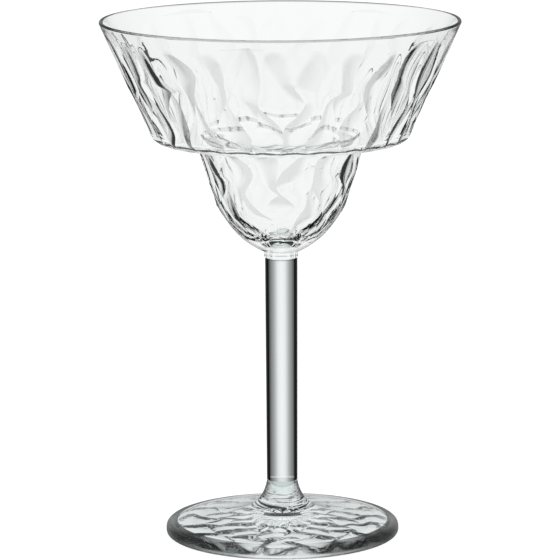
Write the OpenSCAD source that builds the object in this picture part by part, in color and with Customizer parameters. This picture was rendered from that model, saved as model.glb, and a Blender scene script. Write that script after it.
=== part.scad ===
// A margarita glass in clear moulded plastic: a wide flared bowl that steps in to a small cup, on a solid
// stem and a disc foot. The bowl and the underside of the foot are covered in staggered, scooped facets.
// Bowl, stem and foot are three mouldings, joined by a spigot, a socket and a film of adhesive at each end.
// The axis is Z, the table is at z = 0, and every size is in millimetres.

/* [Bowl] */
// Diameter at which the outer face of the flared wall would reach the rim, before the lip is rounded
rim_d = 117; // [105:1:127]
// Outer diameter where the flared wall would meet the underside of the ledge
ledge_d = 82.5; // [75:0.5:90]
// Outer diameter of the small cup where it leaves the ledge
cup_d = 55; // [46:1:60]
// Diameter of the flat under the small cup
base_d = 13.2; // [12.4:0.2:16]
// Height of the flared wall, from the underside of the ledge to the rim
flare_h = 39; // [34:1:46]
// Height of the small cup, from its flat base to the underside of the ledge
cup_h = 36; // [31:1:42]
// Radius of the rounding between the flared wall and the ledge, outside
shoulder_r = 3; // [2:0.25:4]
// Radius of the same rounding inside
inner_shoulder_r = 2; // [1:0.25:5]
// Radius of the fillet between the ledge and the small cup, outside
ledge_fillet_r = 1.4; // [0.8:0.1:2]
// Radius of the rounding between the ledge and the small cup, inside
mouth_r = 0.9; // [0.5:0.1:1.8]
// Thickness of the moulded wall
wall = 2.2; // [1.9:0.1:2.8]
// Thickness of the lip at the rim
rim_t = 1.7; // [1.4:0.1:2]
// Thickness of the floor of the small cup
floor_t = 4.6; // [4.2:0.1:6]
// Outer diameter of the collar under the small cup
collar_d = 11; // [10.8:0.1:12]
// Height of the collar
collar_h = 2.5; // [1.5:0.1:3.5]

/* [Facets] */
// Facets round the flared wall
flare_facets = 28; // [20:1:36]
// Facets round the small cup
cup_facets = 14; // [10:1:20]
// Facets round the underside of the foot
foot_facets = 16; // [12:1:20]
// Depth of the facets on the flared wall
flare_cut = 0.8; // [0.3:0.05:1]
// Depth of the facets on the small cup
cup_cut = 0.8; // [0.3:0.05:1]
// Depth of the facets under the foot
foot_cut = 0.9; // [0.4:0.1:1.2]
// Height of the plain band between the rim and the first facets
rim_band = 4.5; // [3:0.5:7]
// How far the corners of the facets on the flared wall wander up and down
facet_wander = 2.2; // [0:0.1:2.4]

/* [Stem] */
// Length of the rod between the collar and the foot
stem_l = 73.9; // [60:1:90]
// Diameter of the rod at its top
stem_top_d = 10.5; // [10:0.1:10.7]
// Diameter of the rod at its bottom
stem_foot_d = 10; // [9.6:0.1:10.5]
// Diameter of the spigots at the ends of the rod
spigot_d = 7; // [5:0.25:7.5]
// Length of each spigot
spigot_l = 3.6; // [2.5:0.1:4]
// Thickness of the adhesive film between the mouldings
bond_t = 0.1; // [0.05:0.01:0.2]

/* [Foot] */
// Diameter of the foot
foot_d = 76.2; // [68:0.5:84]
// Height of the foot, from the table to the end of the rod
foot_h = 17.4; // [14:0.2:20]
// Thickness of the disc at its edge
edge_t = 4.1; // [3.8:0.1:5]
// Radius of the rounding on top of the edge
edge_r = 2; // [1.5:0.1:2.5]
// Radius of the rounding under the edge
edge_under_r = 1.2; // [0.6:0.1:1.4]
// Width of the flat ring that the glass stands on
ring_w = 2.4; // [2:0.1:5]
// Height of the recess inside that ring
recess_h = 0.8; // [0.4:0.1:1.2]
// Radius of the plain spot in the middle of the recess
spot_r = 5; // [4:0.5:7]

/* [Hidden] */
$fn = 96;

// One run past every face that a cut goes through
overrun = 1;
// Chamfers on the collar and on the shoulders of the rod
chamfer = 0.3;
// Extra depth of each socket past its spigot, filled with adhesive
socket_end = 0.2;
// Rounding of the lip, as a share of its thickness
lip_share = 0.45;
// Columns of points in half the width of a facet, and rows of points in each of its slanted edges
half = 2;
// Rows of facets down the flared wall, down the small cup and in under the foot
flare_rows = 2;
cup_rows = 3;
foot_rows = 3;
// The slanted edges of a facet, as a share of the distance between rows of facets
slant_share = 0.66;
// The pull points of the small cup's outline, as shares of its radius and height from the base up
cup_pull_shares = [[0.789, 0.245], [0.778, 0.624]];
// The pull points of the foot's outline, as shares of its radius and height from the edge to the rod
foot_pull_shares = [[0.652, 0.145], [0.076, -0.086]];
// Where the facets on the small cup begin and end, as shares of its outline from the ledge down
cup_band_shares = [0.03, 0.95];
// How far the corners of the facets wander round the bowl and the foot, as a share of a facet's width
turn_share = 0.2;
// How far they wander along the small cup and the foot, as a share of half the distance between rows
creep_share = 0.2;
// How fast the wall of the small cup thins from the floor up, as a power
thinning = 4;
// The facets of the small cup reach their full depth this many radii of its base out from the base, and
// deepen on the way with this power of the distance
fade_radii = 2;
fade_power = 2;

rim_r = rim_d / 2;
ledge_r = ledge_d / 2;
cup_r = cup_d / 2;
base_r = base_d / 2;
foot_r = foot_d / 2;
spigot_r = spigot_d / 2;
socket_r = spigot_r + bond_t;
ring_r = foot_r - edge_under_r - ring_w;

// Heights of the joints and the main levels above the table
stem_z = foot_h + bond_t;
collar_z = stem_z + stem_l + bond_t;
base_z = collar_z + collar_h;
ledge_z = base_z + cup_h;
rim_z = ledge_z + flare_h;

// Lean of the flared wall from upright, its length, and where its rounding begins and ends
lean = atan2(rim_r - ledge_r, flare_h);
flare_l = norm([rim_r - ledge_r, flare_h]);
turn = 90 - lean;
flare_straight = flare_l - shoulder_r * tan(turn / 2);
corner_l = shoulder_r * turn * PI / 180;

// A point on a cubic curve through a and d, pulled towards b and c
function curve(a, b, c, d, t) =
    a * pow(1 - t, 3) + 3 * b * t * pow(1 - t, 2) + 3 * c * t * t * (1 - t) + d * pow(t, 3);

// The direction of that curve, of length 1
function curve_way(a, b, c, d, t) =
    let(w = (b - a) * pow(1 - t, 2) + 2 * (c - b) * t * (1 - t) + (d - c) * t * t) w / norm(w);

// On the flared wall at length s down from the rim: radius, height, and the inward normal's two parts
function flare_at(s) =
    s < flare_straight
        ? [rim_r - s * sin(lean), rim_z - s * cos(lean), -cos(lean), sin(lean)]
        : s < flare_straight + corner_l
            ? let(bend = (s - flare_straight) / shoulder_r * 180 / PI,
                  mid = [rim_r - flare_straight * sin(lean) - shoulder_r * cos(lean),
                         ledge_z + shoulder_r])
              [mid[0] + shoulder_r * cos(lean + bend), mid[1] - shoulder_r * sin(lean + bend),
               -cos(lean + bend), sin(lean + bend)]
            : [rim_r - flare_straight * sin(lean) - shoulder_r * cos(lean)
                   - (s - flare_straight - corner_l), ledge_z, 0, 1];

// Corners of the small cup's outline, from the base to the ledge
cup_ends = [[base_r, base_z], [cup_r, ledge_z]];
cup_pulls = [for (p = cup_pull_shares) [base_r + p[0] * (cup_r - base_r), base_z + p[1] * cup_h]];

// The same four numbers on the small cup, at share t of its outline up from the base
function cup_at(t) =
    let(p = curve(cup_ends[0], cup_pulls[0], cup_pulls[1], cup_ends[1], t),
        w = curve_way(cup_ends[0], cup_pulls[0], cup_pulls[1], cup_ends[1], t))
    [p[0], p[1], -w[1], w[0]];

// Corners of the foot's top outline, from the rounded edge in to the rod
foot_ends = [[foot_r - edge_r, edge_t], [stem_foot_d / 2, foot_h]];
foot_pulls = [for (p = foot_pull_shares)
    [foot_ends[1][0] + p[0] * (foot_ends[0][0] - foot_ends[1][0]), edge_t + p[1] * (foot_h - edge_t)]];

// The facets are tall hexagons, each with four slanted edges and two upright ones, in staggered rows.
// One row of facets follows another after 2 * half rows of points: half for the slanted edges, which are
// tall, and half for the upright ones. This is how many rows of facets down a row of points lies.
function row_at(y) =
    let(past = y % (2 * half))
    (y - past) / (2 * half)
        + (past < half ? past / half * slant_share : slant_share + (past / half - 1) * (1 - slant_share));

// How far x is from the nearest whole number of facets, in halves of a facet's width
function off_middle(x) = (x - 2 * half * round(x / (2 * half))) / half;

// How deep the scoops are at column x and row y, from 0 at the corners of a facet to 1 in its middle
function scoop(x, y) =
    let(tall = (1 + slant_share) / 2, wide = 1 - pow((1 - slant_share) / (1 + slant_share), 2))
    max([0, each [for (row = [1:flare_rows + cup_rows])
        let(across = off_middle(row % 2 == 1 ? x : x - half), down = row_at(y) - row + 1 - tall)
        1 - wide * across * across - pow(down / tall, 2)]]);

// A smooth, uneven drift between -1 and 1 that closes on itself round the axis
function drift(angle, y, waves, phase) =
    0.6 * sin(waves * angle + phase + 47 * y) + 0.4 * sin((2 * waves + 1) * angle - phase - 83 * y);

// A ring of n points round the axis, all at one radius and height
function plain_ring(n, r, z) = [for (c = [0:n - 1]) let(a = 360 * c / n) [r * cos(a), r * sin(a), z]];

// A closed solid through a stack of rings of n points each, listed from the top down or from the edge in.
// Where the rows hold facets, each four-sided patch is split along the ridge that crosses it.
module ring_solid(rings, rows_of_facets) {
    n = len(rings[0]);
    m = len(rings);
    points = [for (ring = rings) each ring];
    function at(row, column) = row * n + (column % n);
    function split_down(row, column) = (rows_of_facets[row] + column) % 2 == 0;
    sides = [for (row = [0:m - 2], column = [0:n - 1])
        let(a = at(row, column), b = at(row, column + 1),
            c = at(row + 1, column + 1), d = at(row + 1, column))
        each split_down(row, column) ? [[a, b, c], [a, c, d]] : [[a, b, d], [b, c, d]]];
    caps = [[for (c = [n - 1:-1:0]) c], [for (c = [0:n - 1]) (m - 1) * n + c]];
    polyhedron(points = points, faces = concat(sides, caps), convexity = 6);
}

// The solid inside the flared wall's outer face, down to the underside of the ledge
module flare_form() {
    n = 2 * half * flare_facets;
    lip = rim_t * lip_share;
    wall_rows = 2 * half * flare_rows;
    rows = wall_rows + half;
    function length_at(y) =
        y < wall_rows
            ? rim_band + (flare_straight - rim_band) * row_at(y) / flare_rows
            : flare_straight + corner_l * (y - wall_rows) / half;
    function ring(y) = [for (c = [0:n - 1])
        let(a = 360 * c / n,
            free = y < wall_rows ? 1 : 0,
            p = flare_at(length_at(y) + free * facet_wander * drift(a, y, 5, 20)),
            around = a + turn_share * 360 / flare_facets * drift(a, y, 7, 110),
            cut = y < rows ? flare_cut * scoop(c, y) : 0,
            r = p[0] + p[2] * cut,
            z = p[1] + p[3] * cut)
        [r * cos(around), r * sin(around), z]];
    rings = [
        plain_ring(n, rim_r - lip, rim_z),
        plain_ring(n, flare_at(lip)[0] - lip * (1 - cos(45)), rim_z - lip * (1 - sin(45))),
        plain_ring(n, flare_at(lip)[0], flare_at(lip)[1]),
        each [for (y = [0:rows]) ring(y)]
    ];
    ring_solid(rings, [for (row = [0:len(rings) - 1]) row + 1]);
}

// The solid inside the small cup's outer face, let into the flared part by the wall's thickness
module cup_form() {
    n = 2 * half * cup_facets;
    rows = 2 * half * cup_rows;
    share_step = (cup_band_shares[1] - cup_band_shares[0]) / cup_rows;
    function ring(y) = [for (c = [0:n - 1])
        let(a = 360 * c / n,
            free = y > 0 && y < rows ? 1 : 0,
            creep = free * creep_share * drift(a, y, 5, 70) / half,
            p = cup_at(1 - cup_band_shares[0] - share_step * (row_at(y) + creep)),
            fade = pow(min(1, max(0, (p[0] - base_r) / (fade_radii * base_r))), fade_power),
            around = a + turn_share * 360 / cup_facets * drift(a, y, 3, 10),
            cut = cup_cut * fade * scoop(c, y),
            r = p[0] + p[2] * cut,
            z = p[1] + p[3] * cut)
        [r * cos(around), r * sin(around), z]];
    root = [cup_r + ledge_fillet_r, ledge_z];
    inside = [cup_r, ledge_z];
    leave = cup_at(1 - cup_band_shares[0]);
    fillet_steps = 3;
    fillet = [for (i = [0:fillet_steps - 1])
        curve(root, inside, inside, [leave[0], leave[1]], i / fillet_steps)];
    rings = [
        plain_ring(n, root[0], ledge_z + wall),
        each [for (p = fillet) plain_ring(n, p[0], p[1])],
        each [for (y = [0:rows]) ring(y)],
        plain_ring(n, base_r, base_z)
    ];
    ring_solid(rings, [for (row = [0:len(rings) - 1]) row]);
}

// The space for the drink, with a smooth face all round
module cavity() {
    lip = rim_t * lip_share;
    inner_rim_r = rim_r - rim_t;
    inner_ledge_z = ledge_z + wall;
    inner_ledge_r = ledge_r + wall * tan(lean) - wall / cos(lean);
    corner_steps = 6;
    cup_steps = 18;
    shoulder_mid = [inner_ledge_r - inner_shoulder_r * tan(turn / 2), inner_ledge_z + inner_shoulder_r];
    corner = [for (i = [0:corner_steps])
        let(bend = 90 - turn * i / corner_steps)
        [shoulder_mid[0] + inner_shoulder_r * cos(bend), shoulder_mid[1] - inner_shoulder_r * sin(bend)]];
    lip_round = [for (i = [0:corner_steps])
        let(bend = 90 * i / corner_steps)
        [inner_rim_r + lip - lip * cos(bend), rim_z - lip + lip * sin(bend)]];
    cup_wall = [for (i = [0:cup_steps - 1])
        let(p = cup_at(i / cup_steps),
            thick = wall + (floor_t - wall) * pow(1 - i / cup_steps, thinning))
        [p[0] + p[2] * thick, p[1] + p[3] * thick]];
    top = cup_wall[cup_steps - 1];
    last = cup_at(1);
    edge = [top[0] - (inner_ledge_z - top[1]) * last[3] / last[2], inner_ledge_z];
    mouth_start = edge + (top - edge) * mouth_r / norm(top - edge);
    mouth_end = [edge[0] + mouth_r, inner_ledge_z];
    mouth = [for (i = [0:corner_steps])
        curve(mouth_start, edge, edge, mouth_end, i / corner_steps)];
    rotate_extrude()
        polygon(concat(
            [[0, cup_wall[0][1]]],
            cup_wall,
            mouth,
            corner,
            lip_round,
            [[rim_r - lip, rim_z + overrun], [0, rim_z + overrun]]));
}

// The collar under the small cup, with its chamfered lower edge
module collar() {
    collar_r = collar_d / 2;
    translate([0, 0, collar_z])
        cylinder(r1 = collar_r - chamfer, r2 = collar_r, h = chamfer);
    translate([0, 0, collar_z + chamfer])
        cylinder(r = collar_r, h = collar_h - chamfer + overrun);
}

module bowl() {
    color([0.86, 0.90, 0.89])
        difference() {
            union() {
                flare_form();
                cup_form();
                collar();
            }
            cavity();
            translate([0, 0, collar_z - overrun])
                cylinder(r = socket_r, h = overrun + spigot_l + socket_end);
        }
}

// The rod, with a spigot at each end
module stem() {
    top_r = stem_top_d / 2;
    low_r = stem_foot_d / 2;
    color([0.82, 0.86, 0.85])
        union() {
            translate([0, 0, stem_z])
                cylinder(r1 = low_r - chamfer, r2 = low_r, h = chamfer);
            translate([0, 0, stem_z + chamfer])
                cylinder(r1 = low_r, r2 = top_r, h = stem_l - 2 * chamfer);
            translate([0, 0, stem_z + stem_l - chamfer])
                cylinder(r1 = top_r, r2 = top_r - chamfer, h = chamfer);
            translate([0, 0, stem_z - spigot_l])
                cylinder(r = spigot_r, h = spigot_l + stem_l + spigot_l);
        }
}

// The adhesive that fills a joint: a thin washer on the rod's shoulder, a sleeve and a disc past the spigot
module bond(washer_r) {
    color([0.90, 0.93, 0.98])
        difference() {
            union() {
                cylinder(r = washer_r, h = bond_t);
                cylinder(r = socket_r, h = bond_t + spigot_l + socket_end);
            }
            translate([0, 0, -overrun])
                cylinder(r = spigot_r, h = overrun + spigot_l);
        }
}

module upper_bond() {
    translate([0, 0, collar_z - bond_t])
        bond(stem_top_d / 2 - chamfer);
}

module lower_bond() {
    translate([0, 0, foot_h + bond_t])
        mirror([0, 0, 1])
            bond(stem_foot_d / 2 - chamfer);
}

// The outline of the foot without its facets, turned about the axis
module foot_blank() {
    steps = 24;
    edge_steps = 8;
    under = [for (i = [0:edge_steps])
        let(bend = 90 * i / edge_steps)
        [foot_r - edge_under_r + edge_under_r * sin(bend), edge_under_r - edge_under_r * cos(bend)]];
    over = [for (i = [0:edge_steps - 1])
        let(bend = 90 * i / edge_steps)
        [foot_r - edge_r + edge_r * cos(bend), edge_t - edge_r + edge_r * sin(bend)]];
    top = [for (i = [0:steps])
        curve(foot_ends[0], foot_pulls[0], foot_pulls[1], foot_ends[1], i / steps)];
    rotate_extrude()
        polygon(concat([[0, 0]], under, over, top, [[0, foot_h]]));
}

// The recess under the foot, whose roof is covered in facets
module foot_recess() {
    n = 2 * half * foot_facets;
    rows = 2 * half * foot_rows + half;
    span = (ring_r - spot_r) / row_at(rows);
    function ring(y) = [for (c = [0:n - 1])
        let(a = 360 * c / n,
            free = y == 0 || y == rows ? 0 : 1,
            r = ring_r - span * (row_at(y) + free * creep_share * drift(a, y, 5, 30) / half),
            around = a + free * turn_share * 360 / foot_facets * drift(a, y, 3, 50),
            z = recess_h + free * foot_cut * scoop(c, y))
        [r * cos(around), r * sin(around), z]];
    rings = [plain_ring(n, ring_r, -overrun), each [for (y = [0:rows]) ring(y)]];
    mirror([0, 0, 1])
        ring_solid([for (one = rings) [for (p = one) [p[0], p[1], -p[2]]]],
                   [for (row = [0:len(rings) - 1]) row + 1]);
}

module foot() {
    color([0.84, 0.88, 0.87])
        difference() {
            foot_blank();
            foot_recess();
            translate([0, 0, foot_h - spigot_l - socket_end])
                cylinder(r = socket_r, h = spigot_l + socket_end + overrun);
        }
}

bowl();
upper_bond();
stem();
lower_bond();
foot();
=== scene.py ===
import math

import bmesh
import bpy
from mathutils import Matrix, Vector


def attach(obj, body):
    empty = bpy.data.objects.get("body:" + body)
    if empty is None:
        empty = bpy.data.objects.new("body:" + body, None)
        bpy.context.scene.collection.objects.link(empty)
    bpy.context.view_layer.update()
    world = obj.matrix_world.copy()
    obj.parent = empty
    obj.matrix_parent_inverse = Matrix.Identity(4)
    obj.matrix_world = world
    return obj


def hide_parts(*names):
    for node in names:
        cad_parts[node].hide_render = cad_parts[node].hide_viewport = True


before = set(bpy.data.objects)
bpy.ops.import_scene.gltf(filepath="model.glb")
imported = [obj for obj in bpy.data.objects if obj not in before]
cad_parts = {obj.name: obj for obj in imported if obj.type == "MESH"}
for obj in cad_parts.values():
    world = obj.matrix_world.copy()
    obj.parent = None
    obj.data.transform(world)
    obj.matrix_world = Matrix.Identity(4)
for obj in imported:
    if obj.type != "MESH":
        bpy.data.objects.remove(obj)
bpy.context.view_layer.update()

MM = 0.001

# Sizes in millimetres, the same as the solids'
RIM_R, LEDGE_R, CUP_R, BASE_R = 58.5, 41.25, 27.5, 6.6
FLARE_H, CUP_H = 39.0, 36.0
SHOULDER_R, INNER_SHOULDER_R = 3.0, 2.0
LEDGE_FILLET, MOUTH_R = 1.4, 0.9
WALL, RIM_T, FLOOR_T = 2.2, 1.7, 4.6
COLLAR_R, COLLAR_H, CHAMFER = 5.5, 2.5, 0.3
FLARE_CUT, CUP_CUT, FOOT_CUT = 0.8, 0.8, 0.9
RIM_BAND, WANDER = 4.5, 2.2
STEM_L, STEM_TOP_R, STEM_LOW_R, BOND_T = 73.9, 5.25, 5.0, 0.1
SPIGOT_R, SPIGOT_L, SOCKET_END = 3.5, 3.6, 0.2
FOOT_R, FOOT_H, EDGE_T, EDGE_R, UNDER_R = 38.1, 17.4, 4.1, 2.0, 1.2
RING_W, RECESS_H, SPOT_R = 2.4, 0.8, 5.0

# Small sizes that only the visual pieces have: the slope above the collar, how far down the collar's side an
# extra ring of points lies, the chamfer round the recess, the rounding of the adhesive's bead, and how far
# its faces stay inside the joint
COLLAR_SLOPE, COLLAR_RING, RECESS_CHAMFER = 0.25, 1.2, (0.25, 0.2)
BEAD_ROUND, BEAD_GAP = 0.04, 0.015

# Facets round the flared wall, the small cup and the underside of the foot, and rows of them down the wall
# and the cup. The facets lie on a lattice of points. HALF steps of it make half a facet's width, or one of
# its slanted edges, and CELL steps make its width, or take one row of facets to the next.
FLARE_N, CUP_N, FOOT_N = 28, 14, 16
FLARE_FACET_ROWS, CUP_FACET_ROWS = 2, 3
HALF = 2
CELL = 2 * HALF
# The last row of points on the flared wall, round its shoulder, down the small cup, and in under the foot
WALL_ROWS, FLARE_ROWS, CUP_ROWS, FOOT_ROWS = 8, 10, 12, 14
# Each step of the lattice is cut into this many fine steps, and the rings have this many points
FLARE_FINE, CUP_FINE, FOOT_FINE = 4, 8, 6
BOWL_COLUMNS, FOOT_COLUMNS = CELL * FLARE_FINE * FLARE_N, CELL * FOOT_FINE * FOOT_N
STEM_COLUMNS, BOND_COLUMNS = 192, 96

# Shares and powers, the same as the solids': the lip's rounding, a facet's slanted edges, the wandering of
# the facets, the pull points of the outlines, the part of the small cup's outline that has facets, and how
# its wall thins from the floor up and its facets deepen outwards
LIP_SHARE, SLANT, TURN, CREEP = 0.45, 0.66, 0.2, 0.2
CUP_PULLS = (0.789, 0.245), (0.778, 0.624)
FOOT_PULLS = (0.652, 0.145), (0.076, -0.086)
CUP_TOP, CUP_SPAN = 0.97, 0.92
THINNING, FADE_RADII, FADE_POWER = 4, 2, 2
# Where the rings on the floor of the small cup and on the plain band under the rim lie
FLOOR_SHARES, BAND_SHARES = (0.33, 0.66), (0.0, 0.4, 0.8)

# How the facets wander along the outline and round the axis: the number of waves and their phase in degrees.
# Each has a broad and a fine wave, with these shares, which shift by these degrees from row to row of points.
FLARE_ALONG, CUP_ALONG, FOOT_ALONG = (5, 20), (5, 70), (5, 30)
FLARE_ROUND, CUP_ROUND, FOOT_ROUND = (7, 110), (3, 10), (3, 50)
BROAD_SHARE, FINE_SHARE, BROAD_SHIFT, FINE_SHIFT = 0.6, 0.4, 47, 83

# Steps along the outlines
CUP_STEPS, SHOULDER_STEPS, WALL_STEPS, LIP_STEPS, FILLET_STEPS = 24, 10, 6, 6, 8
ROD_STEPS, FOOT_TOP_STEPS, EDGE_STEPS = 24, 60, 12
# The rings of the foot that bound its hub's look and its top's, how many rings wide the ledge's painted dark
# line of shade is, and how many rows of points the calm end of the small cup has
HUB_RINGS, TOP_RINGS, LINE_RINGS, CALM_ROWS = (1, 10), (20, 50), 2, 3

# Creases sharper than these angles in degrees stay sharp
FACET_CREASE, STEM_CREASE, BOND_CREASE = 9, 30, 40

STEM_Z = FOOT_H + BOND_T
COLLAR_Z = STEM_Z + STEM_L + BOND_T
BASE_Z = COLLAR_Z + COLLAR_H
LEDGE_Z = BASE_Z + CUP_H
RIM_Z = LEDGE_Z + FLARE_H
LEAN = math.atan2(RIM_R - LEDGE_R, FLARE_H)
BEND = math.pi / 2 - LEAN
STRAIGHT = math.hypot(RIM_R - LEDGE_R, FLARE_H) - SHOULDER_R * math.tan(BEND / 2)
CORNER = SHOULDER_R * BEND
LIP = RIM_T * LIP_SHARE


# Outlines

def bezier(a, b, c, d, t):
    return tuple(
        p * (1 - t) ** 3 + 3 * q * t * (1 - t) ** 2 + 3 * r * t * t * (1 - t) + s * t ** 3
        for p, q, r, s in zip(a, b, c, d))


def bezier_way(a, b, c, d, t):
    x, z = (
        (q - p) * (1 - t) ** 2 + 2 * (r - q) * t * (1 - t) + (s - r) * t * t
        for p, q, r, s in zip(a, b, c, d))
    n = math.hypot(x, z)
    return x / n, z / n


def arc(mid, wide, tall, bends):
    """Points round mid, at the angles bends, on an ellipse that reaches wide and tall from it."""
    return [(mid[0] + wide * math.cos(bend), mid[1] + tall * math.sin(bend)) for bend in bends]


def flare_at(s):
    """Radius, height and inward normal at length s down the flared wall."""
    if s < STRAIGHT:
        return (RIM_R - s * math.sin(LEAN), RIM_Z - s * math.cos(LEAN),
                -math.cos(LEAN), math.sin(LEAN))
    bend = (s - STRAIGHT) / SHOULDER_R
    mid = RIM_R - STRAIGHT * math.sin(LEAN) - SHOULDER_R * math.cos(LEAN)
    if bend < BEND:
        return (mid + SHOULDER_R * math.cos(LEAN + bend),
                LEDGE_Z + SHOULDER_R - SHOULDER_R * math.sin(LEAN + bend),
                -math.cos(LEAN + bend), math.sin(LEAN + bend))
    return mid - (s - STRAIGHT - CORNER), LEDGE_Z, 0.0, 1.0


CUP_OUTLINE = ((BASE_R, BASE_Z),
               *((BASE_R + r * (CUP_R - BASE_R), BASE_Z + z * CUP_H) for r, z in CUP_PULLS),
               (CUP_R, LEDGE_Z))


def cup_at(t):
    """Radius, height and inward normal at share t up the small cup."""
    r, z = bezier(*CUP_OUTLINE, t)
    x, y = bezier_way(*CUP_OUTLINE, t)
    return r, z, -y, x


def drift(angle, y, waves, phase):
    """The uneven wandering of the facets, between -1 and 1. Angles are in degrees."""
    return (BROAD_SHARE * math.sin(math.radians(waves * angle + phase + BROAD_SHIFT * y))
            + FINE_SHARE * math.sin(math.radians((2 * waves + 1) * angle - phase - FINE_SHIFT * y)))


def row_at(y):
    """How many rows of facets down row of points y lies."""
    past = y % CELL
    return ((y - past) / CELL
            + (past / HALF * SLANT if past < HALF else SLANT + (past / HALF - 1) * (1 - SLANT)))


def scoop(x, y):
    """Depth of the scoops at column x and row y, from 0 at the corners of a facet to 1 in its middle. It
    looks through more rows of facets than any face has."""
    tall = (1 + SLANT) / 2
    wide = 1 - ((1 - SLANT) / (1 + SLANT)) ** 2
    best = 0.0
    for row in range(1, FLARE_FACET_ROWS + CUP_FACET_ROWS + 1):
        shifted = x if row % 2 else x - HALF
        across = (shifted - CELL * math.floor(shifted / CELL + 0.5)) / HALF
        down = row_at(y) - row + 1 - tall
        best = max(best, 1 - wide * across * across - (down / tall) ** 2)
    return best


# Mesh building

def on_circle(angle, r, z):
    return (r * math.cos(angle), r * math.sin(angle), z)


def plain_ring(n, r, z):
    return [on_circle(math.tau * c / n, r, z) for c in range(n)]


def patch(a, b, c, d, column, facets):
    """The faces of one four-sided patch. A patch on a ridge between facets is split along it. facets is
    (row in fine steps, fine steps per step of the lattice), or None away from the facets."""
    if facets:
        row, fine = facets
        if row % (CELL * fine) < HALF * fine:
            top = HALF * fine * (row // (CELL * fine) % 2)
            if (column - row - top) % (CELL * fine) == 0:
                return [(a, b, c), (a, c, d)]
            if (column + row + 1 - top) % (CELL * fine) == 0:
                return [(a, b, d), (b, c, d)]
    return [(a, b, c, d)]


class Skin:
    """Stacked rings of points. facets maps a ring's index to what patch needs to know of it, and plain to
    the outward and upward parts of the normal that the surface would have without facets."""

    def __init__(self, rings=()):
        self.rings = list(rings)
        self.facets = {}
        self.plain = {}

    def add(self, ring, facets=None, plain=None):
        if facets:
            self.facets[len(self.rings)] = facets
        if plain:
            self.plain[len(self.rings)] = plain
        self.rings.append(ring)

    def mesh(self, name, first, last, crease, with_plain=False):
        """The closed mesh through the rings. first and last are its end points on the axis."""
        n, m = len(self.rings[0]), len(self.rings)
        verts = [tuple(c * MM for c in p) for ring in self.rings for p in ring]
        faces = []
        for j in range(m - 1):
            for i in range(n):
                k = (i + 1) % n
                faces += patch(j * n + i, j * n + k, (j + 1) * n + k, (j + 1) * n + i, i,
                               self.facets.get(j))
        for point, ring, first_end in ((first, 0, True), (last, m - 1, False)):
            mid = len(verts)
            verts.append(tuple(c * MM for c in point))
            for i in range(n):
                a, b = ring * n + i, ring * n + (i + 1) % n
                faces.append((b, a, mid) if first_end else (a, b, mid))
        me = bpy.data.meshes.new(name)
        me.from_pydata(verts, [], faces)
        me.validate()
        me.update()
        if with_plain:
            self.keep_plain_normals(me)
        finish_mesh(me, crease)
        ob = bpy.data.objects.new(name, me)
        bpy.context.scene.collection.objects.link(ob)
        return ob

    def keep_plain_normals(self, me):
        """Keep the normals without facets on the mesh. Where a ring has none, the normal is level."""
        values = []
        for j, ring in enumerate(self.rings):
            out, up = self.plain.get(j, (1.0, 0.0))
            for x, y, _ in ring:
                r = math.hypot(x, y)
                values += [out * x / r, out * y / r, up]
        values += [0.0, 0.0, 1.0] * 2
        me.attributes.new("plain_normal", "FLOAT_VECTOR", "POINT").data.foreach_set("vector", values)


def finish_mesh(me, crease):
    bm = bmesh.new()
    bm.from_mesh(me)
    bmesh.ops.recalc_face_normals(bm, faces=bm.faces)
    bm.to_mesh(me)
    bm.free()
    me.shade_smooth()
    me.set_sharp_from_angle(angle=math.radians(crease))


# The bowl: one closed skin from the floor of the small cup, over the lip, down outside to the collar. With
# the bowl, the stem and the foot comes which stretches of rings have a look of their own, as
# {look: [(first ring, last ring)]}.

def cup_inside():
    """The small cup's inner face, from the middle of the floor up to its mouth."""
    line = []
    for i in range(CUP_STEPS - 1):
        t = i / CUP_STEPS
        p = cup_at(t)
        thick = WALL + (FLOOR_T - WALL) * (1 - t) ** THINNING
        line.append((p[0] + p[2] * thick, p[1] + p[3] * thick))
    floor_r, floor_z = line[0]
    return [(floor_r * share, floor_z) for share in FLOOR_SHARES] + line


def inside_line():
    """The bowl's inner face and its lip, and the looks on them."""
    line = cup_inside()
    top, last = line[-1], cup_at(1)
    ledge_z = LEDGE_Z + WALL
    ledge_r = LEDGE_R + WALL * math.tan(LEAN) - WALL / math.cos(LEAN)
    edge = (top[0] - (ledge_z - top[1]) * last[3] / last[2], ledge_z)
    way = math.dist(top, edge)
    start = tuple(e + (t - e) * MOUTH_R / way for t, e in zip(top, edge))
    end = (edge[0] + MOUTH_R, ledge_z)
    mouth = (len(line) - 1, len(line) + FILLET_STEPS)
    line += [bezier(start, edge, edge, end, i / FILLET_STEPS) for i in range(FILLET_STEPS + 1)]

    mid = (ledge_r - INNER_SHOULDER_R * math.tan(BEND / 2), ledge_z + INNER_SHOULDER_R)
    line.append(((line[-1][0] + mid[0]) / 2, ledge_z))
    line += arc(mid, INNER_SHOULDER_R, -INNER_SHOULDER_R,
                (math.pi / 2 - BEND * i / SHOULDER_STEPS for i in range(SHOULDER_STEPS + 1)))
    low, high = line[-1], (RIM_R - RIM_T, RIM_Z - LIP)
    line += [tuple(a + (b - a) * i / WALL_STEPS for a, b in zip(low, high)) for i in range(1, WALL_STEPS)]

    side = flare_at(LIP)
    lip = len(line) + LIP_STEPS // 2
    line += arc((RIM_R - RIM_T + LIP, RIM_Z - LIP), -LIP, LIP,
                (math.pi / 2 * i / LIP_STEPS for i in range(LIP_STEPS + 1)))
    line += arc((RIM_R - LIP, side[1]), side[0] - RIM_R + LIP, RIM_Z - side[1],
                (math.pi / 2 * (1 - i / LIP_STEPS) for i in range(LIP_STEPS)))
    return line, {"plain": [(0, lip)], "rounding": [mouth], "lip": [(lip, len(line))]}


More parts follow.
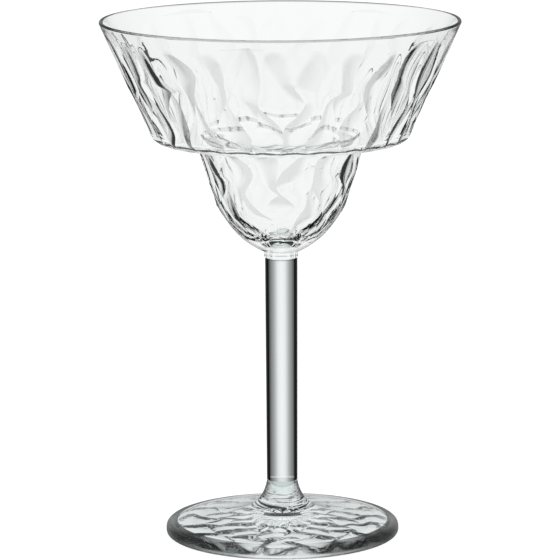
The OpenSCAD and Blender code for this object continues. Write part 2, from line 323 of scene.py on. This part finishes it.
def scooped_point(p, angle, depth):
    """Point p, a radius, a height and an inward normal, moved in by depth and turned to the angle."""
    return on_circle(angle, p[0] + p[2] * depth, p[1] + p[3] * depth)


def add_flare(skin):
    """The flared wall and its rounded shoulder, outside."""
    for share in BAND_SHARES:
        r, z, inward, rise = flare_at(LIP + (RIM_BAND - LIP) * share)
        skin.add(plain_ring(BOWL_COLUMNS, r, z), plain=(-inward, -rise))
    for j in range(FLARE_ROWS * FLARE_FINE + 1):
        y = j / FLARE_FINE
        s = (RIM_BAND + (STRAIGHT - RIM_BAND) * row_at(y) / FLARE_FACET_ROWS if y < WALL_ROWS
             else STRAIGHT + CORNER * (y - WALL_ROWS) / (FLARE_ROWS - WALL_ROWS))
        free = min(1.0, max(0.0, WALL_ROWS - y))
        ring = []
        for c in range(BOWL_COLUMNS):
            a, x = 360 * c / BOWL_COLUMNS, c / FLARE_FINE
            p = flare_at(s + free * WANDER * drift(a, y, *FLARE_ALONG))
            around = math.radians(a + TURN * 360 / FLARE_N * drift(a, y, *FLARE_ROUND))
            ring.append(scooped_point(p, around, FLARE_CUT * scoop(x, y) * min(1, FLARE_ROWS - y)))
        # The ring's last point gives the normal for all of it
        skin.add(ring, (j, FLARE_FINE) if y < FLARE_ROWS else None, (-p[2], -p[3]))


def add_ledge(skin):
    """The underside of the ledge, and the fillet between it and the small cup."""
    start = flare_at(STRAIGHT + CORNER)[0]
    root, inside, leave = (CUP_R + LEDGE_FILLET, LEDGE_Z), (CUP_R, LEDGE_Z), cup_at(CUP_TOP)[:2]
    skin.add(plain_ring(BOWL_COLUMNS, (start + root[0]) / 2, LEDGE_Z))
    for i in range(FILLET_STEPS):
        skin.add(plain_ring(BOWL_COLUMNS, *bezier(root, inside, inside, leave, i / FILLET_STEPS)))


def add_cup(skin):
    """The small cup, outside."""
    for j in range(CUP_ROWS * CUP_FINE + 1):
        y = j / CUP_FINE
        free = min(1.0, y, CUP_ROWS - y)
        ring = []
        for c in range(BOWL_COLUMNS):
            a, x = 360 * c / BOWL_COLUMNS, c / CUP_FINE
            down = row_at(y) + free * CREEP * drift(a, y, *CUP_ALONG) / HALF
            p = cup_at(CUP_TOP - CUP_SPAN / CUP_FACET_ROWS * down)
            fade = min(1, max(0, (p[0] - BASE_R) / (FADE_RADII * BASE_R))) ** FADE_POWER
            around = math.radians(a + TURN * 360 / CUP_N * drift(a, y, *CUP_ROUND))
            ring.append(scooped_point(p, around, CUP_CUT * fade * scoop(x, y)))
        skin.add(ring, (j, CUP_FINE) if y < CUP_ROWS else None, (-p[2], -p[3]))


def add_collar(skin):
    """The base of the small cup and the collar."""
    for r, z in ((BASE_R, BASE_Z),
                 (COLLAR_R + COLLAR_SLOPE, BASE_Z), (COLLAR_R, BASE_Z - COLLAR_SLOPE),
                 (COLLAR_R, BASE_Z - COLLAR_RING), (COLLAR_R, COLLAR_Z + CHAMFER),
                 (COLLAR_R - CHAMFER, COLLAR_Z), ((COLLAR_R - CHAMFER) / 2, COLLAR_Z)):
        skin.add(plain_ring(BOWL_COLUMNS, r, z))


def make_bowl():
    line, spans = inside_line()
    skin = Skin(plain_ring(BOWL_COLUMNS, r, z) for r, z in line)
    add_flare(skin)
    # A dark line of painted shade runs along the top of the shoulder's rounding
    line_top = len(skin.rings) - (FLARE_ROWS - WALL_ROWS) * FLARE_FINE
    line_end = line_top + LINE_RINGS
    add_ledge(skin)
    cup = len(skin.rings)
    add_cup(skin)
    # The facets are too shallow for the painted scoop shade at the small cup's calm end
    calm = len(skin.rings) - CALM_ROWS * CUP_FINE
    add_collar(skin)
    groove = len(skin.rings) - 2
    spans["plain"].append((calm, groove))
    spans["rounding"].append((line_end, cup))
    spans["bonded"] = [(groove, groove + 2)]
    spans["corner"] = [(line_top, line_end)]
    ob = skin.mesh("bowl_moulding", (0, 0, line[0][1]), (0, 0, COLLAR_Z), FACET_CREASE, with_plain=True)
    return ob, spans


# The stem: a round rod with a slight draft

def make_stem():
    line = [((STEM_LOW_R - CHAMFER) / 2, STEM_Z), (STEM_LOW_R - CHAMFER, STEM_Z)]
    for i in range(ROD_STEPS + 1):
        z = STEM_Z + CHAMFER + (STEM_L - 2 * CHAMFER) * i / ROD_STEPS
        line.append((STEM_LOW_R + (STEM_TOP_R - STEM_LOW_R) * i / ROD_STEPS, z))
    line += [(STEM_TOP_R - CHAMFER, STEM_Z + STEM_L), ((STEM_TOP_R - CHAMFER) / 2, STEM_Z + STEM_L)]
    skin = Skin(plain_ring(STEM_COLUMNS, r, z) for r, z in line)
    ob = skin.mesh("stem_moulding", (0, 0, STEM_Z), (0, 0, STEM_Z + STEM_L), STEM_CREASE)
    return ob, {"bonded": [(0, 2), (len(line) - 2, len(line))]}


# The foot: a round disc with a hub, and facets in the recess under it

def foot_outline():
    """The foot's outline from the rod, over the top and the edge, to the rim of the recess."""
    edge, rod = (FOOT_R - EDGE_R, EDGE_T), (STEM_LOW_R, FOOT_H)
    pulls = [(rod[0] + r * (edge[0] - rod[0]), EDGE_T + z * (FOOT_H - EDGE_T)) for r, z in FOOT_PULLS]
    line = [(STEM_LOW_R / 2, FOOT_H)]
    line += [bezier(edge, *pulls, rod, 1 - i / FOOT_TOP_STEPS) for i in range(FOOT_TOP_STEPS + 1)]
    line += arc((FOOT_R - EDGE_R, EDGE_T - EDGE_R), EDGE_R, EDGE_R,
                (math.pi / 2 * (1 - i / EDGE_STEPS) for i in range(1, EDGE_STEPS + 1)))
    line += arc((FOOT_R - UNDER_R, UNDER_R), UNDER_R, -UNDER_R,
                (math.pi / 2 * i / EDGE_STEPS for i in range(EDGE_STEPS + 1)))
    ring_r = FOOT_R - UNDER_R - RING_W
    return line + [(ring_r + RECESS_CHAMFER[0], 0.0), (ring_r, RECESS_CHAMFER[1]), (ring_r, RECESS_H)]


def add_recess(skin, ring_r):
    """The facets in the roof of the recess, from its rim at radius ring_r in to the plain spot."""
    span = (ring_r - SPOT_R) / row_at(FOOT_ROWS)
    for j in range(1, FOOT_ROWS * FOOT_FINE + 1):
        y = j / FOOT_FINE
        free = min(1.0, y, FOOT_ROWS - y)
        ring = []
        for c in range(FOOT_COLUMNS):
            a, x = 360 * c / FOOT_COLUMNS, c / FOOT_FINE
            r = ring_r - span * (row_at(y) + free * CREEP * drift(a, y, *FOOT_ALONG) / HALF)
            around = math.radians(a + free * TURN * 360 / FOOT_N * drift(a, y, *FOOT_ROUND))
            ring.append(on_circle(around, r, RECESS_H + free * FOOT_CUT * scoop(x, y)))
        skin.facets[len(skin.rings) - 1] = (j - 1, FOOT_FINE)
        skin.add(ring)


def make_foot():
    line = foot_outline()
    skin = Skin(plain_ring(FOOT_COLUMNS, r, z) for r, z in line)
    add_recess(skin, line[-1][0])
    spot = len(skin.rings) - 1
    ob = skin.mesh("foot_moulding", (0, 0, FOOT_H), (0, 0, RECESS_H), FACET_CREASE, with_plain=True)
    return ob, {"edge": [(FOOT_TOP_STEPS - 2, len(line) - 3)], "top": [TOP_RINGS], "bonded": [(0, 1)],
                "hub": [HUB_RINGS], "spot": [(spot, spot + 1)]}


# The adhesive of each joint: a thin bead in the groove, a sleeve round the spigot and a disc past its end

def bond_film(name, r, z, way):
    """z is the height of the groove's face on the socket's side. way is 1 where the socket runs up from it,
    and -1 where it runs down."""
    near, far = z - way * BEAD_GAP, z - way * (BOND_T - BEAD_GAP)
    end = z + way * (SPIGOT_L + SOCKET_END)
    tip = end - way * SOCKET_END
    socket_r = SPIGOT_R + BOND_T
    line = [(SPIGOT_R / 2, end), (socket_r, end), (socket_r, near),
            (r - BEAD_ROUND, near), (r, (near + far) / 2), (r - BEAD_ROUND, far),
            (SPIGOT_R, far), (SPIGOT_R, tip), (SPIGOT_R / 2, tip)]
    return Skin(plain_ring(BOND_COLUMNS, *p) for p in line).mesh(name, (0, 0, end), (0, 0, tip), BOND_CREASE)


bowl, bowl_spans = make_bowl()
stem, stem_spans = make_stem()
foot, foot_spans = make_foot()
upper = bond_film("upper_bond_film", STEM_TOP_R - CHAMFER, COLLAR_Z, 1)
lower = bond_film("lower_bond_film", STEM_LOW_R - CHAMFER, FOOT_H, -1)


# Nodes for the materials and the studio

def node(nt, kind, x, y, **values):
    n = nt.nodes.new(kind)
    n.location = (x, y)
    for k, v in values.items():
        setattr(n, k, v)
    return n


def tone_at(nt, x, y, value, stops, tint=(1, 1, 1)):
    """The tone at value on a ramp through stops, which are (place, brightness) pairs."""
    ramp = node(nt, "ShaderNodeValToRGB", x, y)
    marks = ramp.color_ramp.elements
    while len(marks) < len(stops):
        marks.new(0.5)
    for mark, (place, brightness) in zip(marks, stops):
        mark.position = place
        mark.color = (*(brightness * part for part in tint), 1)
    nt.links.new(value, ramp.inputs["Fac"])
    return ramp.outputs["Color"]


def map_range(nt, x, y, value, before, after):
    """value, moved from the range before to the range after, and held inside it."""
    scale = node(nt, "ShaderNodeMapRange", x, y)
    scale.inputs["From Min"].default_value, scale.inputs["From Max"].default_value = before
    scale.inputs["To Min"].default_value, scale.inputs["To Max"].default_value = after
    nt.links.new(value, scale.inputs["Value"])
    return scale.outputs["Result"]


def math_node(nt, x, y, operation, *values):
    """An operation on values, each a number or a socket."""
    result = node(nt, "ShaderNodeMath", x, y, operation=operation)
    for socket, value in zip(result.inputs, values):
        if isinstance(value, float):
            socket.default_value = value
        else:
            nt.links.new(value, socket)
    return result.outputs[0]


def scale_color(nt, x, y, color, share):
    both = node(nt, "ShaderNodeVectorMath", x, y, operation="SCALE")
    nt.links.new(color, both.inputs[0])
    nt.links.new(share, both.inputs["Scale"])
    return both.outputs[0]


def mix_shaders(nt, x, y, share, first, second):
    """The shader first where share is 0, and second where it is 1."""
    mix = node(nt, "ShaderNodeMixShader", x, y)
    for socket, value in zip(mix.inputs, (share, first, second)):
        nt.links.new(value, socket)
    return mix.outputs[0]


def from_outside(nt, x, y, inside):
    """1 where the surface is seen from outside, and inside where it is seen through the plastic."""
    side = node(nt, "ShaderNodeNewGeometry", x, y)
    return map_range(nt, x + 200, y, side.outputs["Backfacing"], (0.0, 1.0), (1.0, inside))


def turn_from_eye(nt, x, y, normal=None):
    """How far the surface turns from the eye, from 0 where it faces it to 1 where it is seen edge on."""
    turned = node(nt, "ShaderNodeLayerWeight", x, y)
    if normal:
        nt.links.new(normal, turned.inputs["Normal"])
    return turned.outputs["Facing"]


def plain_normal(nt, x, y):
    """The normal that the surface would have without facets."""
    return node(nt, "ShaderNodeAttribute", x, y, attribute_name="plain_normal").outputs["Vector"]


# Clear plastic

# The bowl, the stem and the plain spot under the foot bend light less than the plastic would, and the bowl's
# roundings least, which keeps them as calm as in the photo. Bonded faces hardly bend it, because the adhesive
# fills the joint.
BOWL_IOR, ROUND_IOR, CORNER_IOR = 1.33, 1.05, 1.12
STEM_IOR, FOOT_IOR, SPOT_IOR, BONDED_IOR = 1.2, 1.49, 1.2, 1.02
CLEAR, COOL = (0.975, 0.99, 0.985), (0.935, 0.985, 0.98)
# The colour of the light that falls through into the shadow
SHADOW_TINT = (0.93, 0.94, 0.94)
# The depth of the flow marks in metres at full strength, how they are stretched upright, their detail, and
# their strength and scale on each kind of face
FLOW_DEPTH, FLOW_STRETCH, FLOW_DETAIL = 0.0004, (1, 1, 0.45), 2.0
BOWL_FLOW, CALM_FLOW, FOOT_FLOW = (0.15, 90), (0.1, 90), (0.12, 90)
STEM_FLOW, BOND_FLOW = (0.1, 60), (0.4, 900)
# The roughness of the bowl's roundings and of the foot's edge. All else is smooth.
ROUND_ROUGH, EDGE_ROUGH = 0.2, 0.25
# The painted shade on the scoops: what keeps it fine at the front, the tilts where it begins and is full, the
# turns of the wall where the flank begins and is full, and its strength at the front and on the far wall
SCOOP_REST, SCOOP_TILT, FLANK, SCOOP_FRONT, SCOOP_BACK = 0.35, (0.02, 0.12), (0.25, 0.45), 0.3, 0.18
# The least square of what facing_round divides by, for where the eye looks along the axis
LEAST_LEVEL = 0.002

# Painted shade: the colour's brightness by how far a surface turns from the eye
BOWL_RAMP = [(0.0, 0.97), (0.7, 0.98), (0.9, 0.9), (1.0, 0.5)]
INNER_RAMP = [(0.0, 1.0), (1.0, 0.98)]
# Painted shade on the lip: darker all over, so the rim shows as a dark line
LIP_RAMP = [(0.0, 0.4), (1.0, 0.25)]
# Painted shade on the shoulder's corner: almost black wherever it turns from the eye
CORNER_RAMP = [(0.0, 1.0), (0.1, 0.04), (1.0, 0.02)]
STEM_RAMP = [(0.0, 0.92), (0.023, 0.82), (0.059, 0.58), (0.095, 0.42), (0.14, 0.32), (0.217, 0.22),
             (0.318, 0.1), (0.4, 0.0)]
FOOT_RAMP = [(0.0, 1.0), (0.6, 1.0), (0.85, 0.97), (1.0, 0.3)]
EDGE_RAMP = [(0.0, 1.0), (0.05, 0.85), (0.126, 0.18), (0.32, 0.04), (0.56, 0.01), (0.75, 0.06), (1.0, 0.15)]
HUB_RAMP = [(0.0, 0.95), (0.08, 0.8), (0.2, 0.6), (0.35, 0.3), (0.55, 0.05), (1.0, 0.0)]
BOND_RAMP = [(0.0, 1.0), (0.7, 1.0), (0.84, 0.5), (1.0, 0.1)]


def painted_scoop_shade(nt, x, y):
    """Painted shade: white, but dark on the side of each scoop that turns away from the eye, most of all on
    the glass's flanks. There the wall's wedge throws light far aside. Scoops on the far wall show faintly."""
    wall = turn_from_eye(nt, x + 200, y, plain_normal(nt, x, y))
    tilt = math_node(nt, x + 400, y, "SUBTRACT", turn_from_eye(nt, x + 200, y - 200), wall)
    room = map_range(nt, x + 400, y + 250, wall, (0.0, 1.0), (SCOOP_REST, 1.0 + SCOOP_REST))
    tilt = math_node(nt, x + 500, y, "DIVIDE", tilt, room)
    away = map_range(nt, x + 600, y, tilt, SCOOP_TILT, (0.0, 1.0))
    flank = map_range(nt, x + 600, y - 250, wall, FLANK, (SCOOP_FRONT, 1.0))
    dark = math_node(nt, x + 800, y, "MULTIPLY", away, flank)
    dark = math_node(nt, x + 1000, y, "MULTIPLY", dark, from_outside(nt, x + 400, y - 500, SCOOP_BACK))
    return map_range(nt, x + 1200, y, dark, (0.0, 1.0), (1.0, 0.0))


def facing_round(nt, x, y, facing):
    """How far an upright round surface turns aside from the eye, whatever the height it is seen from."""
    up = node(nt, "ShaderNodeNormal", x, y - 200)
    up.outputs["Normal"].default_value = (0, 0, 1)
    tilt = turn_from_eye(nt, x + 200, y - 200, up.outputs["Normal"])
    rise = map_range(nt, x + 400, y - 200, tilt, (0.0, 1.0), (1.0, 0.0))
    level = math_node(nt, x + 600, y - 200, "MULTIPLY", rise, rise)
    level = map_range(nt, x + 800, y - 200, level, (0.0, 1.0), (1.0, LEAST_LEVEL))
    level = math_node(nt, x + 1000, y - 200, "SQRT", level)
    toward = map_range(nt, x + 400, y, facing, (0.0, 1.0), (1.0, 0.0))
    toward = math_node(nt, x + 1200, y, "DIVIDE", toward, level)
    return map_range(nt, x + 1400, y, toward, (0.0, 1.0), (1.0, 0.0))


def painted_turn_shade(nt, ramp, tint, scooped, upright, around, inside):
    """The colour, with shade painted by how far the surface turns from the eye, as clear_plastic says."""
    facing = turn_from_eye(nt, -700, 100, plain_normal(nt, -900, 100) if around else None)
    if around:
        facing = math_node(nt, -700, 400, "MULTIPLY", facing, from_outside(nt, -1100, 400, 0.0))
    if upright:
        facing = facing_round(nt, -2300, 100, facing)
    tone = tone_at(nt, -450, 100, facing, ramp, tint)
    if scooped:
        return scale_color(nt, 0, 100, tone, painted_scoop_shade(nt, -1300, 700))
    if inside < 1:
        return scale_color(nt, 0, 100, tone, from_outside(nt, -450, 400, inside))
    return tone


def flow_marks(nt, flow):
    """The bump of the faint marks that the plastic's flow left in the moulding. flow is their strength and
    scale."""
    strength, scale = flow
    coords = node(nt, "ShaderNodeTexCoord", -1100, -200)
    stretch = node(nt, "ShaderNodeMapping", -900, -200)
    stretch.inputs["Scale"].default_value = FLOW_STRETCH
    noise = node(nt, "ShaderNodeTexNoise", -700, -200)
    noise.inputs["Scale"].default_value = scale
    noise.inputs["Detail"].default_value = FLOW_DETAIL
    bump = node(nt, "ShaderNodeBump", -100, -300)
    bump.inputs["Strength"].default_value = strength
    bump.inputs["Distance"].default_value = FLOW_DEPTH
    nt.links.new(coords.outputs["Object"], stretch.inputs["Vector"])
    nt.links.new(stretch.outputs["Vector"], noise.inputs["Vector"])
    nt.links.new(noise.outputs["Fac"], bump.inputs["Height"])
    return bump.outputs["Normal"]


def clear_plastic(name, ramp, flow, ior, rough=0.0, scooped=False, upright=False, around=False, inside=1.0,
                  tint=CLEAR):
    """Clear moulded plastic with faint flow marks. It lets the lamps' light through.
    ramp paints shade into its colour by how far it turns from the eye, standing in for how clear plastic
    darkens where it is seen edge on among dark surroundings. With None it has one colour.
    scooped: the scoops get painted shade. upright: only the turn about an upright axis counts.
    around: the turn is that of the surface without facets, and counts from outside only.
    inside: the brightness of the painted shade for light that leaves the plastic there."""
    mat = bpy.data.materials.new(name)
    mat.use_nodes = True
    nt = mat.node_tree
    nt.nodes.clear()
    out = node(nt, "ShaderNodeOutputMaterial", 900, 0)
    skin = node(nt, "ShaderNodeBsdfPrincipled", 300, 0)
    skin.inputs["Transmission Weight"].default_value = 1.0
    skin.inputs["IOR"].default_value = ior
    skin.inputs["Roughness"].default_value = rough
    skin.inputs["Base Color"].default_value = (*tint, 1)
    if ramp:
        color = painted_turn_shade(nt, ramp, tint, scooped, upright, around, inside)
        nt.links.new(color, skin.inputs["Base Color"])
    nt.links.new(flow_marks(nt, flow), skin.inputs["Normal"])
    path = node(nt, "ShaderNodeLightPath", 300, 400)
    through = node(nt, "ShaderNodeBsdfTransparent", 300, -500)
    through.inputs["Color"].default_value = (*SHADOW_TINT, 1)
    both = mix_shaders(nt, 650, 0, path.outputs["Is Shadow Ray"], skin.outputs[0], through.outputs[0])
    nt.links.new(both, out.inputs["Surface"])
    return mat


bonded_look = clear_plastic("bonded_face", None, CALM_FLOW, BONDED_IOR)
bond_look = clear_plastic("cured_adhesive", BOND_RAMP, BOND_FLOW, BONDED_IOR)
bowl_look = clear_plastic("bowl_clear_plastic", BOWL_RAMP, BOWL_FLOW, BOWL_IOR, scooped=True)
bowl_looks = {
    "plain": clear_plastic("bowl_plain_face", INNER_RAMP, CALM_FLOW, BOWL_IOR),
    "rounding": clear_plastic("bowl_rounding", INNER_RAMP, CALM_FLOW, ROUND_IOR, ROUND_ROUGH),
    # The lip's look paints it darker, a dark line of shade along the rim
    "lip": clear_plastic("bowl_lip_painted_line", LIP_RAMP, CALM_FLOW, BOWL_IOR),
    "bonded": bonded_look,
    # The corner's look paints a dark line of shade along the top of the shoulder
    "corner": clear_plastic("bowl_corner_painted_line", CORNER_RAMP, CALM_FLOW, CORNER_IOR, around=True)}
# Painted shade darkens the stem's sides where they turn from the eye
stem_look = clear_plastic("stem_clear_plastic", STEM_RAMP, STEM_FLOW, STEM_IOR, upright=True, tint=COOL)
foot_look = clear_plastic("foot_clear_plastic", FOOT_RAMP, FOOT_FLOW, FOOT_IOR, tint=COOL)
foot_looks = {
    # The edge's and the hub's looks paint dark shade where they turn from the eye
    "edge": clear_plastic("foot_edge_painted_shade", EDGE_RAMP, FOOT_FLOW, FOOT_IOR, EDGE_ROUGH, around=True, tint=COOL),
    # The top's painted shade: black for light that leaves the plastic through it
    "top": clear_plastic("foot_top_painted_shade", FOOT_RAMP, FOOT_FLOW, FOOT_IOR, inside=0.0, tint=COOL),
    "bonded": bonded_look,
    "hub": clear_plastic("foot_hub_painted_shade", HUB_RAMP, FOOT_FLOW, FOOT_IOR, upright=True, tint=COOL),
    "spot": clear_plastic("foot_spot", None, FOOT_FLOW, SPOT_IOR, tint=COOL)}


def dress(piece, cad, look, looks=None, spans=None, columns=None):
    """Give the piece its look, and the faces between the rings of each span the look of the span's name.
    Where spans overlap, the last look counts."""
    piece.data.materials.append(look)
    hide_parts(cad)
    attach(piece, "root")
    if not looks:
        return
    for own_look in looks.values():
        piece.data.materials.append(own_look)
    for face in piece.data.polygons:
        ring = min(face.vertices) // columns
        for index, part in enumerate(looks, 1):
            if any(first <= ring < last for first, last in spans[part]):
                face.material_index = index


dress(bowl, "bowl", bowl_look, bowl_looks, bowl_spans, BOWL_COLUMNS)
dress(stem, "stem", stem_look, {"bonded": bonded_look}, stem_spans, STEM_COLUMNS)
dress(foot, "foot", foot_look, foot_looks, foot_spans, FOOT_COLUMNS)
dress(upper, "upper_bond", bond_look)
dress(lower, "lower_bond", bond_look)


# The studio: eight bright windows stand round the glass, with slightly dimmer walls between them. Only the
# plastic's gloss and refraction see them, as in a photo of clear ware, and the camera sees plain white.

WINDOW_COUNT = 8
WINDOWS = [(0.0, 1.0), (0.66, 1.0), (0.76, 0.9), (0.84, 0.85), (1.0, 0.85)]
# The studio's brightness by height: a dimmer band runs above the windows, under a bright ceiling whose middle
# is dim
CEILING = [(0.0, 1.0), (0.2, 1.0), (0.26, 0.7), (0.42, 0.7), (0.5, 1.0), (0.85, 1.0), (0.95, 0.5)]
# How bright a reflection of the studio is, and how bright the studio is for all other light
GLOSS_SHARE, SOFT_LIGHT = 0.3, 0.5

# The floor's half width in metres, its colour, and its own glow by distance, which makes up for the lamps
FLOOR_SIZE, FLOOR_COLOR, FLOOR_GLOW, GLOW_RANGE = 9, (0.45, 0.45, 0.45), (0.66, 0.85), (0.2, 2.5)
# The floor as the plastic sees it close by, pale with a little painted shade round the foot, and the
# distances where that ends and the windows begin
NEAR_PAINTED_SHADE, NEAR_RANGE = (0.95, 0.96, 0.96), (0.05, 0.18)


def window_tone(nt, split, x, y):
    """How bright the studio is in the direction that split's X and Y outputs give."""
    half_window = math.pi / WINDOW_COUNT
    angle = math_node(nt, x, y, "ARCTAN2", split.outputs["X"], split.outputs["Y"])
    fold = math_node(nt, x + 200, y, "PINGPONG", angle, half_window)
    share = math_node(nt, x + 400, y, "DIVIDE", fold, half_window)
    return tone_at(nt, x + 600, y, share, WINDOWS)


def gloss_share(nt, x, y):
    """1, or less for a reflection, because the studio is darker on the near side."""
    path = node(nt, "ShaderNodeLightPath", x, y)
    return map_range(nt, x + 200, y, path.outputs["Is Transmission Ray"], (0.0, 1.0), (GLOSS_SHARE, 1.0))


def floor_for_camera(nt, far):
    """White with a faint shadow, and as bright far off, where the lamps reach less."""
    plain = node(nt, "ShaderNodeBsdfDiffuse", 100, 300)
    plain.inputs["Color"].default_value = (*FLOOR_COLOR, 1)
    glow = node(nt, "ShaderNodeEmission", 100, 500)
    nt.links.new(map_range(nt, -450, 500, far, GLOW_RANGE, FLOOR_GLOW), glow.inputs["Strength"])
    both = node(nt, "ShaderNodeAddShader", 350, 400)
    nt.links.new(plain.outputs[0], both.inputs[0])
    nt.links.new(glow.outputs[0], both.inputs[1])
    return both.outputs[0]


def floor_for_plastic(nt, far, split):
    """Pale, with a little painted shade, close by, and further off as bright as the windows and the walls
    there.
    """
    tint = node(nt, "ShaderNodeMix", 100, 0, data_type="RGBA")
    nt.links.new(map_range(nt, -200, -200, far, NEAR_RANGE, (0.0, 1.0)), tint.inputs["Factor"])
    tint.inputs["A"].default_value = (*NEAR_PAINTED_SHADE, 1)
    nt.links.new(window_tone(nt, split, -700, 0), tint.inputs["B"])
    seen = node(nt, "ShaderNodeEmission", 350, 0)
    nt.links.new(tint.outputs["Result"], seen.inputs["Color"])
    nt.links.new(gloss_share(nt, 0, -200), seen.inputs["Strength"])
    return seen.outputs[0]


def make_floor():
    w = FLOOR_SIZE
    me = bpy.data.meshes.new("floor")
    me.from_pydata([(-w, -w, 0), (w, -w, 0), (w, w, 0), (-w, w, 0)], [], [(0, 1, 2, 3)])
    ob = bpy.data.objects.new("floor", me)
    bpy.context.scene.collection.objects.link(ob)
    mat = bpy.data.materials.new("white_floor")
    mat.use_nodes = True
    nt = mat.node_tree
    nt.nodes.clear()
    out = node(nt, "ShaderNodeOutputMaterial", 900, 0)
    coords = node(nt, "ShaderNodeTexCoord", -900, 0)
    split = node(nt, "ShaderNodeSeparateXYZ", -700, 0)
    nt.links.new(coords.outputs["Object"], split.inputs[0])
    far = node(nt, "ShaderNodeVectorMath", -700, 300, operation="LENGTH")
    nt.links.new(coords.outputs["Object"], far.inputs[0])
    path = node(nt, "ShaderNodeLightPath", 350, 700)
    mix = mix_shaders(nt, 600, 0, path.outputs["Is Camera Ray"],
                      floor_for_plastic(nt, far.outputs["Value"], split),
                      floor_for_camera(nt, far.outputs["Value"]))
    nt.links.new(mix, out.inputs["Surface"])
    me.materials.append(mat)


def white_light(nt, x, y, strength):
    light = node(nt, "ShaderNodeBackground", x, y)
    light.inputs["Color"].default_value = (1, 1, 1, 1)
    light.inputs["Strength"].default_value = strength
    return light.outputs[0]


def make_world():
    world = bpy.data.worlds.new("studio")
    bpy.context.scene.world = world
    world.use_nodes = True
    nt = world.node_tree
    nt.nodes.clear()
    out = node(nt, "ShaderNodeOutputWorld", 900, 0)
    coords = node(nt, "ShaderNodeTexCoord", -900, 0)
    split = node(nt, "ShaderNodeSeparateXYZ", -700, 0)
    nt.links.new(coords.outputs["Generated"], split.inputs[0])
    dim = node(nt, "ShaderNodeVectorMath", -100, 100, operation="MULTIPLY")
    nt.links.new(tone_at(nt, -450, 0, split.outputs["Z"], CEILING), dim.inputs[0])
    nt.links.new(window_tone(nt, split, -700, 300), dim.inputs[1])
    path = node(nt, "ShaderNodeLightPath", -450, -400)
    seen = math_node(nt, -250, -400, "MAXIMUM", path.outputs["Is Glossy Ray"],
                     path.outputs["Is Transmission Ray"])
    through = node(nt, "ShaderNodeBackground", 100, 0)
    nt.links.new(dim.outputs[0], through.inputs["Color"])
    nt.links.new(gloss_share(nt, -250, 500), through.inputs["Strength"])
    first = mix_shaders(nt, 400, 0, seen, white_light(nt, 100, -200, SOFT_LIGHT), through.outputs[0])
    second = mix_shaders(nt, 650, 0, path.outputs["Is Camera Ray"], first, white_light(nt, 100, -400, 1.0))
    nt.links.new(second, out.inputs["Surface"])


# Two soft lamps, in metres and watts, aimed at the middle of the glass. The plastic doesn't mirror them.

LAMP_SIZE, LAMP_AIM = 1.4, Vector((0, 0, 0.08))
LAMPS = (("key_lamp", (-1.2, -1.0, 1.9), 24), ("fill_lamp", (1.4, -0.6, 1.6), 16))


def make_lamp(name, place, power):
    data = bpy.data.lights.new(name, "AREA")
    data.shape = "SQUARE"
    data.size = LAMP_SIZE
    data.energy = power
    ob = bpy.data.objects.new(name, data)
    ob.location = place
    ob.rotation_euler = (LAMP_AIM - Vector(place)).to_track_quat("-Z", "Y").to_euler()
    ob.visible_transmission = False
    ob.visible_glossy = False
    bpy.context.scene.collection.objects.link(ob)


# The camera, fitted to the photo: its place in metres, its tilt and roll in radians, its sensor and lens in
# millimetres, and how far the picture is shifted sideways, in pixels of its width

CAMERA_PLACE, CAMERA_TILT, CAMERA_ROLL = (0, -1.19165, 0.30291), -0.1817, -0.0046
SENSOR, LENS = 36, 239.65
SHIFT_PX, WIDTH_PX = -1.336, 560
CLIP_NEAR, CLIP_FAR = 0.05, 60


def make_camera():
    data = bpy.data.cameras.new("camera")
    data.sensor_width = SENSOR
    data.lens = LENS
    data.shift_x = SHIFT_PX / WIDTH_PX
    data.clip_start, data.clip_end = CLIP_NEAR, CLIP_FAR
    ob = bpy.data.objects.new("camera", data)
    bpy.context.scene.collection.objects.link(ob)
    ob.matrix_world = (Matrix.Translation(CAMERA_PLACE)
                       @ Matrix.Rotation(math.pi / 2 + CAMERA_TILT, 4, "X")
                       @ Matrix.Rotation(CAMERA_ROLL, 4, "Z"))
    bpy.context.scene.camera = ob


make_floor()
make_world()
for lamp in LAMPS:
    make_lamp(*lamp)
make_camera()

bpy.context.scene.view_settings.view_transform = "Standard"
